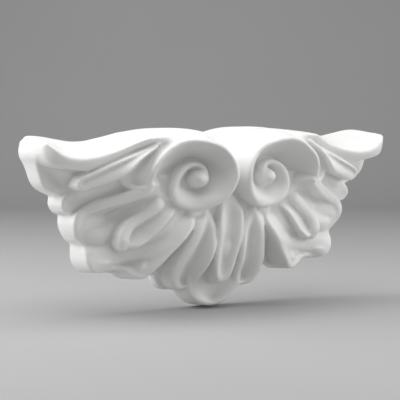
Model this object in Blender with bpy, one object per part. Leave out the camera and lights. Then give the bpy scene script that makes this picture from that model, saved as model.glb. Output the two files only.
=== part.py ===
"""Corbel cast in one piece: a pair of scrolls over a fan of acanthus leaves, flat behind.

The flat back is the plane y = 0 and the ornament stands out of it towards -Y, with +X across and +Z up.
It is set out the way a carver's drawing is, in parts: the whole width is PARTS_WIDE of them, and every
point of the carving is given as (x, z, d), with d the distance out from the wall. Only the right half
is drawn and the left half is its mirror image.
"""

from dataclasses import dataclass
from math import cos, pi, radians, sin, tan

import bmesh
import bpy
import numpy as np
from mathutils import Matrix

# Driving sizes, in metres
WIDTH = 0.386  # across both wing tips
HEIGHT = 0.178  # from the lowest leaf to the top of the scrolls
PROJECTION = 0.091  # of the scrolls out from the wall

# The drawing's divisions of those sizes
PARTS_WIDE = 386
PARTS_HIGH = 178
PARTS_DEEP = 91

# How the casting is finished
GRAIN = 0.0019  # the cell in which the leaves are fused
SOFTENING = 6  # smoothing passes over the fused body
FACES_KEPT = 0.075  # share of the fused faces that the solid keeps
DRAFT = radians(6)  # flare of the side walls towards the wall
SINK_PARTS = 4  # how far the rough body runs on behind the wall plane before it is cut flat, in parts
SOFTENING_STRENGTH = 0.5  # how far each pass moves a point towards its neighbours
EDGE_ROLL = 3.0  # radius of the leaves' rolled edges, in parts
ARCH_SKEW = 1.5  # over 1 an arched surface is highest near its inner edge

# How finely the surfaces are drawn before they are fused
FINE_STEPS = 24  # points along a curve between two of the drawing's
ROLL_STEPS = 5
LEAST_COLUMNS = 11
COLUMN_PARTS = 4
SIDE_STEPS = 6
TINY = 1e-6  # the least length that has a direction

PLASTER_WHITE = (0.83, 0.83, 0.82, 1.0)
PLASTER_ROUGHNESS = 0.6


@dataclass
class Leaf:
    """A band of carving between two edges, each a list of (x, z, d) in parts, from its root to its tip."""

    name: str
    outer: list
    inner: list
    hollow: float = 0.0  # depth of the channel between the two edges
    root_fade: float = 0.12  # share of the length over which the channel starts
    tip_fade: float = 0.15  # share of the length over which it closes
    squareness: float = 2.0  # 2 is a round channel, more is a flat one with narrow rims
    lean: float = 1.0  # under 1 the channel is deepest near the outer edge, over 1 near the inner one
    sag: float = 0.0  # depth of a shallow bowl over the whole width
    crown: float = 0.0  # how far the root swells where the channel hasn't begun
    arch: float = 0.0  # how far the surface rises above its two edges
    roll: float = EDGE_ROLL  # radius of its rolled edges, in parts
    flare: float = DRAFT
    mirrored: bool = True


LEAVES = [
    Leaf(
        "centre tongue",
        outer=[(4, 8, 58), (9, -2, 62.5), (11.3, -11, 64.5), (11.4, -25, 63.5), (10.6, -38, 59.5),
               (9.7, -50, 55.5), (8.6, -60, 52), (7, -68, 49), (4, -73.5, 46), (0, -75, 44.5)],
        inner=[(-4, 8, 58), (-9, -2, 62.5), (-11.3, -11, 64.5), (-11.4, -25, 63.5), (-10.6, -38, 59.5),
               (-9.7, -50, 55.5), (-8.6, -60, 52), (-7, -68, 49), (-4, -73.5, 46), (0, -75, 44.5)],
        hollow=7.5, crown=4, root_fade=0.42, tip_fade=0.22, squareness=2.4, roll=2.4, mirrored=False,
    ),
    Leaf(
        "spoon leaf",
        outer=[(30, 3, 48), (31.5, -5, 57), (33.5, -14, 62), (35.5, -24, 62), (39, -34.5, 57.5),
               (43, -45, 51), (46.5, -55, 44.5), (47.5, -66, 37.5), (46, -74, 32.5), (41.5, -79.5, 29),
               (34, -81.5, 26.5)],
        inner=[(22, 3, 50), (21.5, -6, 57), (19.5, -16, 60.5), (17.8, -27, 60.5), (17.4, -38, 60),
               (17.8, -48, 57), (19, -57, 51.5), (21, -66, 43), (23, -74, 35), (26.5, -79.5, 29),
               (34, -81.5, 26.5)],
        hollow=9.5, crown=5, root_fade=0.5, tip_fade=0.15, squareness=2, lean=1.3, roll=3.5,
    ),
    Leaf(
        "lower layer leaf",
        outer=[(38, -8, 56), (46, -30, 42), (53, -52, 26), (54.5, -66, 15), (53.5, -74, 12), (50, -80, 11),
               (44, -83, 10.5), (38, -83.5, 11)],
        inner=[(28, -8, 58), (30, -30, 48), (32, -55, 32), (32, -72, 20), (34, -80, 14), (38, -83.5, 11)],
        hollow=2,
    ),
    Leaf(
        "lowest leaf",
        outer=[(14, -40, 40), (24, -62, 35), (26.5, -76, 31), (25.5, -85, 28), (20, -92.3, 26.5),
               (11, -97.6, 25.5), (0, -99.6, 25)],
        inner=[(-14, -40, 40), (-24, -62, 35), (-26.5, -76, 31), (-25.5, -85, 28), (-20, -92.3, 26.5),
               (-11, -97.6, 25.5), (0, -99.6, 25)],
        hollow=5, tip_fade=0.25, squareness=2, roll=4, mirrored=False,
    ),
    Leaf(
        "great leaf",
        outer=[(86, 31, 58), (86.5, 26.5, 68), (88, 22, 73.5), (94, 16.9, 68.8), (103, 12.3, 61),
               (120.5, 5.5, 44), (138, -2.5, 29.5), (145, -9, 30), (147, -17, 30), (143.3, -25.5, 27.5),
               (136, -34.5, 25.5), (135.5, -42.5, 30), (134.5, -51, 31.5), (129, -57.5, 31), (119, -59, 27.5),
               (108, -57.5, 30), (99, -59, 33), (92, -64, 36), (86, -66.5, 38.5), (81, -66, 40)],
        inner=[(67, 28, 44), (69.5, 23, 49), (70.5, 17, 54.5), (66, 8, 57.5), (57, 2, 56.5),
               (46.5, -3, 55), (41.5, -10, 59.5), (43, -18.5, 62.5), (49.5, -27, 62.5),
               (56.5, -35.5, 59.5), (62, -42.5, 55.5), (68, -50.5, 51), (74, -57.5, 46.5), (78.5, -63, 42.5),
               (81, -66, 40)],
        hollow=8, sag=2, crown=2, root_fade=0.34, tip_fade=0.25, lean=0.85, roll=3.6,
    ),
    Leaf(
        "great leaf's upper ridge",
        outer=[(88, 23.5, 62), (90, 21.6, 71), (95, 18.8, 69.5), (104, 14.2, 62.5), (112.6, 10.6, 54.5),
               (121.6, 7.2, 46), (130.6, 3.6, 38), (139.4, -1, 33), (146, -7, 32.5), (147.8, -15, 32),
               (145.7, -23, 28.5), (142, -30, 22)],
        inner=[(87, 21.5, 62), (89, 19, 71), (93.4, 15.8, 69.5), (102.3, 11, 62.5), (110.9, 7.4, 54.5),
               (119.9, 4.2, 46), (128.9, 0.6, 38), (137.8, -3.6, 33), (143.8, -8.8, 32.5),
               (145.5, -15, 32), (143.5, -22, 28.5), (140, -29, 22)],
        hollow=0, roll=3.4,
    ),
    Leaf(
        "looped leaf's ridge",
        outer=[(68, 11, 48), (71.5, 8.5, 56), (75, 5.2, 60.3), (79.5, 1.6, 60), (85, -2.8, 57.2),
               (91, -6.8, 54.2), (97.4, -11.7, 51.6), (103.2, -17.3, 50.2), (107, -24, 50),
               (108, -30.5, 49.5), (106.4, -36.5, 46.5)],
        inner=[(66.5, 9.2, 48), (70, 6.6, 56), (73.6, 3.2, 60.3), (78.2, -0.4, 60), (83.7, -4.7, 57.2),
               (89.7, -8.7, 54.2), (96, -13.4, 51.6), (101.5, -18.7, 50.2), (104.8, -25, 50),
               (105.6, -31, 49.5), (104.6, -36.5, 46.5)],
        hollow=0, roll=4.6,
    ),
    Leaf(
        "looped leaf's spoon",
        outer=[(62, 6, 46), (66, 1.5, 54), (72, -3.5, 54.5), (79, -8.5, 52), (86, -13.5, 48.5),
               (92.5, -19, 46), (98, -25, 44.8), (101.8, -31, 45.5), (101.5, -36, 48)],
        inner=[(54, 3, 46), (58.5, -1.5, 55.5), (63.5, -6.5, 61), (68.5, -11.5, 61.5), (73.5, -17.5, 61),
               (78.5, -23, 58.8), (83.5, -28, 56), (89, -32, 54.2), (95, -35.5, 52.4), (101.5, -36, 48)],
        hollow=3.5, root_fade=0.3, tip_fade=0.2, squareness=2, roll=3,
    ),
    Leaf(
        "upper layer leaf",
        outer=[(96, 30, 60), (120, 24, 45), (145, 16.5, 32), (155, 11.5, 28), (159, 7, 27),
               (159.5, 3, 27)],
        inner=[(90, 18, 54), (108, 9, 38), (130, 0, 24), (148, -4, 23), (156, -2, 25), (159.5, 3, 27)],
        hollow=2, squareness=3,
    ),
    Leaf(
        "scroll leaf",
        outer=[(67, 65.5, 76), (78, 60.5, 78), (88, 54, 77), (96, 48, 75), (102.5, 41, 71),
               (106.8, 33.5, 67), (108, 28, 65.5), (106, 22.5, 66), (99.5, 20.5, 69)],
        inner=[(64, 64, 83), (70, 59.5, 84), (78, 52.5, 81), (84.5, 45, 78.5), (88.5, 37, 77),
               (91, 30, 75.5), (92, 25.5, 74), (95, 22, 71), (99.5, 20.5, 69)],
        hollow=1.5, root_fade=0.2, tip_fade=0.3, squareness=2, roll=1.4, flare=0,
    ),
    Leaf(
        "finger leaf",
        outer=[(82, 61, 70), (94, 56, 66), (108, 50, 62), (126, 42, 58), (143, 33, 55), (150.5, 29, 53),
               (153, 25.5, 50)],
        inner=[(92, 54, 71), (99, 47, 69), (105, 40, 67), (112, 33.5, 64.5), (122, 29.5, 60.5),
               (132, 26, 57), (141, 23.5, 53), (148, 22.5, 50), (153, 25.5, 50)],
        hollow=3, root_fade=0.2, tip_fade=0.15, lean=0.6, roll=2.6, flare=0,
    ),
]


@dataclass
class Station:
    """One cross-section of the wing: heights of its back edge, front edge and lip, all in parts."""

    x: float
    back_z: float
    front_z: float
    front_d: float
    lip_z: float
    lip_d: float


WING = [
    Station(70, 71.5, 67.5, 73, 58, 70),
    Station(90, 69.2, 66.8, 73, 58, 64),
    Station(102, 66.5, 62.6, 67.5, 52, 58),
    Station(114, 64, 56.8, 63, 46, 54),
    Station(128, 61.5, 52.2, 61, 40.5, 52),
    Station(143, 61.5, 49, 60.5, 36.5, 51.5),
    Station(157, 64, 48, 60, 38, 52),
    Station(170, 66.5, 51, 59.5, 40, 52),
    Station(180, 67.5, 58, 57, 43, 52),
    Station(186, 67, 63, 52, 48, 49),
    Station(188.5, 64, 61, 47, 53, 45),
]
WING_FLARE = radians(4)
TOP_SHARE = 0.7  # share of a cross-section's points that lie on its top, and the others on its front
TOP_BEND = 3  # how late the top bends down to its front edge
FRONT_BEND = 2
TOP_DENT = 3.5
TOP_DENT_PLACE = 169
TOP_DENT_REACH = 14
WING_SLAB = Leaf(
    "wing slab",
    outer=[(150, 58, 20), (172, 58, 30), (184, 57, 42), (186, 51, 38), (183.5, 44, 28), (181, 37, 24.5),
           (178, 28, 24), (174.5, 22.5, 21.6), (169, 18.5, 19)],
    inner=[(100, 50, 45), (104, 40, 45), (110, 32, 42), (125, 22, 40), (140, 15, 35), (150, 13, 28),
           (160, 15, 22), (169, 18.5, 19)],
    hollow=4, root_fade=0.3, tip_fade=0.3,
)

# The scroll: its eye, and what its ridge and channel measure at every eighth of a turn
EYE = (40, 30)
TURN = 8
FIRST_EIGHTH = -3
FOOT_LAP = 1  # how far the channel's foot runs in under the next turn's ridge
RIDGE_RADIUS = [38, 38.5, 41, 49.5, 40.5, 32.2, 32.2, 33.3, 33.2, 31.7, 30, 18.5, 12, 9.5, 8.5, 7.5, 7, 6.5]
RIDGE_DEPTH = [34, 34, 36, 76, 83.5, 87.5, 88, 89, 79, 66, 64.5, 68, 68.5, 68, 70, 72, 74, 75]
CHANNEL_DEPTH = [32, 33, 34, 46, 49, 50, 52, 54, 50, 44, 43, 44, 48, 54, 60, 64, 68, 70]
CHANNEL_BELLY = [0.7, 0.7, 0.5, 0.5, 0.6, 0.6, 0.6, 0.65, 0.9, 1.4, 1.2, 1, 0.8, 0.7, 0.6, 0.6, 0.6, 0.6]
SCROLL_ROLL = 3.6
SCROLL_FLARE = radians(1.5)
KNOB_CENTRE = (37.5, 27)
KNOB_FOOT_CENTRE = (34.5, 26.5)
KNOB_RADII = (12, 10.8)
KNOB_BLUNTNESS = 0.65
KNOB_DEPTH = 77
KNOB_FOOT = 50
KNOB_TOP = 0.999  # how near its highest ring comes to the middle

# The roof over the scroll, from its back edge to the scroll's ridge
ROOF = Leaf(
    "roof",
    outer=[(-10, 58, 22), (0, 64.9, 22), (8, 67.6, 20), (18, 69.8, 17), (30, 71, 14), (45, 71.2, 12),
           (62, 70.9, 10), (80, 69, 6), (98, 64.8, 2)],
    inner=[(-10, -6, 44), (0, 12, 56), (5, 32, 72), (10, 41.5, 80), (15, 49.5, 83), (22, 57, 84),
           (32, 62.5, 85), (46, 65, 85.5), (60, 63.5, 85.5), (70, 58.5, 82)],
    hollow=-4, arch=7, tip_fade=0.35, roll=1.6, flare=0,
)
GROUND = [
    (0, 58), (20, 62), (50, 64), (80, 63), (96, 61), (118, 57), (140, 55), (160, 57), (182, 58), (188, 52),
    (184, 38), (179, 26), (170, 18), (161, 10), (158, 0), (150, -8), (149, -22), (139, -36), (140, -45),
    (137, -56), (129, -61), (112, -64), (92, -66), (74, -67), (58, -68), (50, -76), (42, -83), (26, -89),
    (12, -101), (0, -104),
]
GROUND_DEPTH = 14
CROWN = (0, 10)
CROWN_DEPTH = 56
CROWN_SHARE = 0.6


def place(x, z, d):
    """The point of the carving at (x, z, d) in parts, in metres."""
    return (
        x * WIDTH / PARTS_WIDE,
        -d * PROJECTION / PARTS_DEEP,
        z * HEIGHT / PARTS_HIGH,
    )


def eased(share):
    """From 0 to 1, with a flat start and a flat end."""
    return np.sin(np.clip(share, 0, 1) * pi / 2) ** 2


def spline(a, b, c, d, t):
    """The smooth curve from b to c at t, with a before it and d after it."""
    return 0.5 * (2 * b + (c - a) * t + (2 * a - 5 * b + 4 * c - d) * t**2 + (3 * b - a - 3 * c + d) * t**3)


def curve_through(points, count):
    """A smooth curve through the given points, as count points at even spacing."""
    knots = np.array(points, float)
    ends = np.vstack([2 * knots[0] - knots[1], knots, 2 * knots[-1] - knots[-2]])
    t = np.linspace(0, 1, FINE_STEPS, endpoint=False)[:, None]
    spans = [spline(*four, t) for four in zip(ends[:-3], ends[1:-2], ends[2:-1], ends[3:])]
    fine = np.vstack([*spans, knots[-1:]])
    travel = np.concatenate([[0], np.cumsum(np.linalg.norm(np.diff(fine, axis=0), axis=1))])
    even = np.linspace(0, travel[-1], count)
    return np.column_stack([np.interp(even, travel, fine[:, axis]) for axis in range(fine.shape[1])])


def outline_of(grid):
    """The points around the rim of a grid, in order, and the way out from it at each of them."""
    loop = np.vstack([grid[:-1, 0], grid[-1, :-1], grid[:0:-1, -1], grid[0, :0:-1]])
    travel = np.roll(loop, -1, axis=0)[:, :2] - np.roll(loop, 1, axis=0)[:, :2]
    out = np.column_stack([travel[:, 1], -travel[:, 0]])
    out /= np.maximum(np.linalg.norm(out, axis=1), TINY)[:, None]
    turned = np.sum(loop[:, 0] * np.roll(loop[:, 1], -1) - loop[:, 1] * np.roll(loop[:, 0], -1))
    return loop, out * np.sign(turned)


def raise_from_wall(mesh, grid, flare=DRAFT):
    """Adds a closed body whose front is the grid, in parts, and whose sides flare back past the wall."""
    rows, columns = grid.shape[:2]
    front = [[mesh.verts.new(place(*grid[r, c])) for c in range(columns)] for r in range(rows)]
    for r in range(rows - 1):
        for c in range(columns - 1):
            mesh.faces.new((front[r][c], front[r][c + 1], front[r + 1][c + 1], front[r + 1][c]))
    rim = (
        [front[r][0] for r in range(rows - 1)]
        + front[-1][:-1]
        + [front[r][-1] for r in range(rows - 1, 0, -1)]
        + front[0][:0:-1]
    )
    loop, out = outline_of(grid)
    for step in range(1, SIDE_STEPS + 1):
        share = step / SIDE_STEPS
        level = loop.copy()
        level[:, 2] = loop[:, 2] * (1 - share) - SINK_PARTS * share
        level[:, :2] += out * ((loop[:, 2] - level[:, 2]) * tan(flare))[:, None]
        ring = [mesh.verts.new(place(*point)) for point in level]
        for a in range(len(ring)):
            b = (a + 1) % len(ring)
            mesh.faces.new((rim[a], rim[b], ring[b], ring[a]))
        rim = ring
    mesh.faces.new(rim)


def outward(rail, towards):
    """Unit vectors square to a rail in the wall plane, on the side that the vectors towards point to."""
    along = np.gradient(rail[:, :2], axis=0)
    square = np.column_stack([-along[:, 1], along[:, 0]])
    square /= np.maximum(np.linalg.norm(square, axis=1), TINY)[:, None]
    widest = np.argmax(np.linalg.norm(towards, axis=1))
    return square * np.sign(square[widest] @ towards[widest])


def channel_depth(leaf, share):
    """How deep the channel lies at each share of the way across a leaf, in parts."""
    rim = np.abs(np.cos(pi * share**leaf.lean)) ** leaf.squareness
    return leaf.hollow * (1 - rim) + leaf.sag * np.sin(pi * share)


def rolled_edge(point, side, radius, turns):
    """Points around an edge that rolls over from the front towards the wall."""
    edge = np.repeat(point[None], len(turns), axis=0)
    edge[:, :2] += radius * np.sin(turns)[:, None] * side
    edge[:, 2] -= radius * (1 - np.cos(turns))
    return edge


def fan_between(first, last, share):
    """Unit vectors that swing from one side of a tip to its other side, by way of straight ahead."""
    ahead = first + last
    ahead /= max(np.linalg.norm(ahead), TINY)
    early = first + (ahead - first) * 2 * share
    late = ahead + (last - ahead) * (2 * share - 1)
    fan = np.where(share < 0.5, early, late)
    return fan / np.linalg.norm(fan, axis=1)[:, None]


def rolled_tip(tip, first, last, radius, turns, columns):
    """The rows that roll over ahead of a leaf's tip, spread as a fan between its rolled edges."""
    fan = fan_between(first, last, np.linspace(0, 1, columns)[:, None])
    fan = np.vstack([np.repeat(fan[:1], len(turns), axis=0), fan, np.repeat(fan[-1:], len(turns), axis=0)])
    own = np.concatenate([turns[::-1], np.zeros(columns), turns])
    rows = []
    for turn in turns:
        reach = np.maximum(own, turn)
        spread = tip[:2] + radius * np.sin(reach)[:, None] * fan
        rows.append(np.column_stack([spread, tip[2] - radius * (1 - np.cos(reach))]))
    return np.array(rows)


def leaf_grid(leaf, rows=72):
    """The front surface of a leaf: its edges and tip rolled over outwards, its channel sunk between them."""
    outer = curve_through(leaf.outer, rows)
    inner = curve_through(leaf.inner, rows)
    across = (outer - inner)[:, :2]
    columns = max(LEAST_COLUMNS, round(np.linalg.norm(across, axis=1).max() / COLUMN_PARTS))
    out_side = outward(outer, across)
    in_side = outward(inner, -across)
    along = np.linspace(0, 1, rows)
    begun = eased(along / leaf.root_fade)
    open_end = eased((1 - along) / leaf.tip_fade)
    share = np.linspace(0, 1, columns)
    sunk = channel_depth(leaf, share)
    swell = leaf.crown * np.sin(pi * share)
    arch = leaf.arch * np.sin(pi * share**ARCH_SKEW)
    turns = np.linspace(0, pi / 2, ROLL_STEPS)[1:]
    grid = []
    for r in range(rows):
        middle = outer[r] + (inner[r] - outer[r]) * share[:, None]
        middle[:, 1] += arch * open_end[r]
        middle[:, 2] += swell * (1 - begun[r]) - sunk * begun[r] * open_end[r]
        out_edge = rolled_edge(outer[r], out_side[r], leaf.roll, turns)
        in_edge = rolled_edge(inner[r], in_side[r], leaf.roll, turns)
        grid.append(np.vstack([out_edge[::-1], middle, in_edge]))
    tip = (outer[-1] + inner[-1]) / 2
    return np.vstack([grid, rolled_tip(tip, out_side[-1], in_side[-1], leaf.roll, turns, columns)])


def add_leaf(mesh, leaf):
    grid = leaf_grid(leaf)
    raise_from_wall(mesh, grid, leaf.flare)
    if leaf.mirrored:
        raise_from_wall(mesh, grid * [-1, 1, 1], leaf.flare)


def spiral(values, eighths):
    """The value at each place on the spiral, in eighths of a turn, by a smooth curve through the list."""
    at = np.clip(eighths - FIRST_EIGHTH, 0, len(values) - 1)
    low = np.minimum(at.astype(int), len(values) - 2)
    padded = np.array([values[0], *values, values[-1]], float)
    return spline(*(padded[low + k] for k in range(4)), at - low)


def scroll_grid(per_eighth=12, columns=17):
    """The scroll's channel as a spiral band, from its rolled ridge in to the foot of the next turn."""
    last = FIRST_EIGHTH + len(RIDGE_RADIUS) - 1
    eighths = np.linspace(FIRST_EIGHTH, last, (last - FIRST_EIGHTH) * per_eighth + 1)
    outer_radius = spiral(RIDGE_RADIUS, eighths)
    next_ridge = spiral(RIDGE_RADIUS, eighths + TURN)
    inner_radius = np.where(eighths + TURN > last, 0.0, next_ridge - FOOT_LAP)
    ridge = spiral(RIDGE_DEPTH, eighths)
    floor = spiral(CHANNEL_DEPTH, eighths)
    belly = spiral(CHANNEL_BELLY, eighths)
    turns = np.linspace(0, pi / 2, ROLL_STEPS)[::-1]
    across = np.linspace(0, 1, columns)[1:]
    grid = np.empty((len(eighths), columns - 1 + ROLL_STEPS, 3))
    for r, eighth in enumerate(eighths):
        roll = outer_radius[r] + SCROLL_ROLL * np.sin(turns)
        channel = outer_radius[r] + (inner_radius[r] - outer_radius[r]) * across
        radius = np.concatenate([roll, channel])
        sunk = (ridge[r] - floor[r]) * eased(across ** belly[r])
        angle = 2 * pi * eighth / TURN
        grid[r, :, 0] = EYE[0] + radius * cos(angle)
        grid[r, :, 1] = EYE[1] + radius * sin(angle)
        grid[r, :, 2] = ridge[r] - np.concatenate([SCROLL_ROLL * (1 - np.cos(turns)), sunk])
    return grid


def knob_grid(rows=13, columns=33):
    """The knob at the scroll's eye: a blunt dome that leans from its foot to its middle."""
    grid = np.empty((rows, columns, 3))
    for r in range(rows):
        tilt = min(r / (rows - 1), KNOB_TOP) * pi / 2
        rise = sin(tilt) ** KNOB_BLUNTNESS
        spread = cos(tilt) ** KNOB_BLUNTNESS
        centre = [low + (high - low) * rise for low, high in zip(KNOB_FOOT_CENTRE, KNOB_CENTRE)]
        for c in range(columns):
            turn = 2 * pi * c / (columns - 1)
            grid[r, c] = (
                centre[0] + KNOB_RADII[0] * spread * cos(turn),
                centre[1] + KNOB_RADII[1] * spread * sin(turn),
                KNOB_FOOT + (KNOB_DEPTH - KNOB_FOOT) * rise,
            )
    return grid


def wing_grid(rows=60, columns=18):
    """The wing: its top from the back edge to the front edge, then its front down to the lip."""
    table = np.array([[s.x, s.back_z, s.front_z, s.front_d, s.lip_z, s.lip_d] for s in WING])
    stations = curve_through(table, rows)
    across = np.linspace(0, 1, columns)
    top = np.clip(across / TOP_SHARE, 0, 1)
    face = np.clip((across - TOP_SHARE) / (1 - TOP_SHARE), 0, 1)
    grid = np.empty((rows, columns, 3))
    for r, (x, back_z, front_z, front_d, lip_z, lip_d) in enumerate(stations):
        near = np.exp(-(((x - TOP_DENT_PLACE) / TOP_DENT_REACH) ** 2))
        dent = TOP_DENT * near * np.sin(pi * top) ** 2
        grid[r, :, 0] = x
        grid[r, :, 1] = back_z + (front_z - back_z) * top**TOP_BEND - dent + (lip_z - front_z) * face
        grid[r, :, 2] = front_d * top + (lip_d - front_d) * face**FRONT_BEND
    return grid


def ground_grid(rows=24, columns=140):
    """The mound under the leaves: from its outline at the wall up to its crown."""
    half = np.array(GROUND, float)
    outline = np.vstack([half, half[-2:0:-1] * [-1, 1], half[:1]])
    rim = curve_through(outline, columns)
    grid = np.empty((rows, columns, 3))
    for r in range(rows):
        inwards = r / (rows - 1)
        grid[r, :, :2] = rim + (np.array(CROWN) - rim) * inwards
        grid[r, :, 2] = GROUND_DEPTH + (CROWN_DEPTH - GROUND_DEPTH) * eased(inwards / CROWN_SHARE)
    return grid


def plaster():
    material = bpy.data.materials.new("primed white")
    material.use_nodes = True
    shader = material.node_tree.nodes["Principled BSDF"]
    shader.inputs["Base Color"].default_value = PLASTER_WHITE
    shader.inputs["Roughness"].default_value = PLASTER_ROUGHNESS
    shader.inputs["Metallic"].default_value = 0.0
    return material


def back_cutter():
    """A box behind the wall plane, which cuts the casting's back flat."""
    mesh = bmesh.new()
    reach = WIDTH
    bmesh.ops.create_cube(mesh, size=2 * reach, matrix=Matrix.Translation((0, reach, 0)))
    data = bpy.data.meshes.new("wall")
    mesh.to_mesh(data)
    mesh.free()
    cutter = bpy.data.objects.new("wall", data)
    bpy.context.collection.objects.link(cutter)
    cutter.hide_render = True
    cutter.display_type = "WIRE"
    return cutter


def carving():
    """Every form of the carving as one mesh of closed bodies that run into each other."""
    mesh = bmesh.new()
    raise_from_wall(mesh, ground_grid())
    for leaf in [*LEAVES, WING_SLAB, ROOF]:
        add_leaf(mesh, leaf)
    for grid, flare in ((scroll_grid(), SCROLL_FLARE), (knob_grid(), 0), (wing_grid(), WING_FLARE)):
        raise_from_wall(mesh, grid, flare)
        raise_from_wall(mesh, grid * [-1, 1, 1], flare)
    bmesh.ops.recalc_face_normals(mesh, faces=mesh.faces)
    data = bpy.data.meshes.new("corbel")
    mesh.to_mesh(data)
    mesh.free()
    return data


def corbel():
    """The casting: its forms fused into one body, softened, thinned and cut flat behind."""
    data = carving()
    data.materials.append(plaster())
    body = bpy.data.objects.new("corbel", data)
    bpy.context.collection.objects.link(body)
    fuse = body.modifiers.new("fuse", "REMESH")
    fuse.mode = "VOXEL"
    fuse.voxel_size = GRAIN
    fuse.use_smooth_shade = True
    soften = body.modifiers.new("soften", "SMOOTH")
    soften.factor = SOFTENING_STRENGTH
    soften.iterations = SOFTENING
    thin = body.modifiers.new("thin", "DECIMATE")
    thin.ratio = FACES_KEPT
    cut = body.modifiers.new("cut flat", "BOOLEAN")
    cut.operation = "DIFFERENCE"
    cut.solver = "EXACT"
    cut.object = back_cutter()


def main():
    for item in list(bpy.data.objects):
        bpy.data.objects.remove(item)
    corbel()


main()
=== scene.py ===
"""A scrolled corbel cast in one piece and primed white, on a pale floor in soft studio light.

The casting is set out the way a carver draws it. Every point of it is (x, z, d) in millimetres:
x across, z up, and d the distance out from the wall. One half is drawn, and the other mirrors it.
"""

import logging
from dataclasses import dataclass, field
from enum import Enum
from math import cos, pi, radians, sin, tan
from typing import Any

import bmesh
import bpy
import numpy as np
from mathutils import Matrix, Vector


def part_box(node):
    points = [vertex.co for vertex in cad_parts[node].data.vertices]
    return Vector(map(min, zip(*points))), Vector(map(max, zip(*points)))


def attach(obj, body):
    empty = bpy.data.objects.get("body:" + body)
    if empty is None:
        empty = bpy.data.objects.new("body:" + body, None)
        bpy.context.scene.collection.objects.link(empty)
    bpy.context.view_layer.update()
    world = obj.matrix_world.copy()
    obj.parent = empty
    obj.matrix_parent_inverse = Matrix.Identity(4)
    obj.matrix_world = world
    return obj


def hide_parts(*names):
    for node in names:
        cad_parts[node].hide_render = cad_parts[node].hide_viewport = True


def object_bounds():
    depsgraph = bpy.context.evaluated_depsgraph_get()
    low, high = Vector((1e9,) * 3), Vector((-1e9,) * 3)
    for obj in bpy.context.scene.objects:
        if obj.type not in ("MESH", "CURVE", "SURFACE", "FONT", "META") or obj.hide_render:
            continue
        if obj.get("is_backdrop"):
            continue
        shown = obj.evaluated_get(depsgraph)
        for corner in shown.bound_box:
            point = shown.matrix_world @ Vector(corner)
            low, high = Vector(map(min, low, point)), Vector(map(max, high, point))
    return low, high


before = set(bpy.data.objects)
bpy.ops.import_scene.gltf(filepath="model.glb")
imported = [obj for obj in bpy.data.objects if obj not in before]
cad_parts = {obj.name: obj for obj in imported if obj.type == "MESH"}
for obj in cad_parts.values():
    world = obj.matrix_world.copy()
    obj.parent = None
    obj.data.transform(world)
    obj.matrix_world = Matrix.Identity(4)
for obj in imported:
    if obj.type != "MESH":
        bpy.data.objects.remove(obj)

LOG = logging.getLogger("corbel")
MILLIMETRE = 0.001
FINE_STEPS = 24  # straight steps between two drawn points of a smooth curve
TINY = 1e-6  # keeps a length of nought from being divided by
TURN = 8  # the scroll's lists hold this many values for each turn
QUARTER_TURN = pi / 2
MIX_SHARE, MIX_FIRST, MIX_SECOND, MIX_COLOUR = 0, 6, 7, 2  # a colour Mix node's sockets

Point = tuple[float, float, float]
Colour = tuple[float, float, float, float]
Rail = list[Point]
Grid = np.ndarray


class Symmetry(Enum):
    """Whether a carving is on each half of the casting or across its middle."""

    PAIRED = "paired"
    CENTRAL = "central"


class Wire:
    """A node's output, with which sums and products are written as plain expressions."""

    def __init__(self, bench: "Bench", socket: Any) -> None:
        """Keeps the output and the tree that it is in."""
        self.bench = bench
        self.socket = socket

    def _with(self, operation: str, first: Any, second: Any = None) -> "Wire":
        """Adds a Math node.

        Args:
            operation: The Math node's operation.
            first: The first value, a Wire or a number.
            second: The second value, if the operation has one.

        Returns:
            The node's result.
        """
        values = {0: first} if second is None else {0: first, 1: second}
        return self.bench.node("ShaderNodeMath", {"operation": operation}, values).out("Value")

    def __add__(self, other: Any) -> "Wire":
        """The sum."""
        return self._with("ADD", self, other)

    def __radd__(self, other: Any) -> "Wire":
        """The sum, from the right."""
        return self._with("ADD", other, self)

    def __sub__(self, other: Any) -> "Wire":
        """The difference."""
        return self._with("SUBTRACT", self, other)

    def __rsub__(self, other: Any) -> "Wire":
        """The difference, from the right."""
        return self._with("SUBTRACT", other, self)

    def __mul__(self, other: Any) -> "Wire":
        """The product."""
        return self._with("MULTIPLY", self, other)

    def __rmul__(self, other: Any) -> "Wire":
        """The product, from the right."""
        return self._with("MULTIPLY", other, self)

    def clamped(self) -> "Wire":
        """The value kept between 0 and 1."""
        return self._with("MAXIMUM", self._with("MINIMUM", self, 1.0), 0.0)


class Made:
    """A node that has been added, with its outputs as wires."""

    def __init__(self, bench: "Bench", node: Any) -> None:
        """Keeps the node and the tree that it is in."""
        self.bench = bench
        self.node = node

    def out(self, name: str | int) -> Wire:
        """The output of that name or in that place."""
        return Wire(self.bench, self.node.outputs[name])


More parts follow.
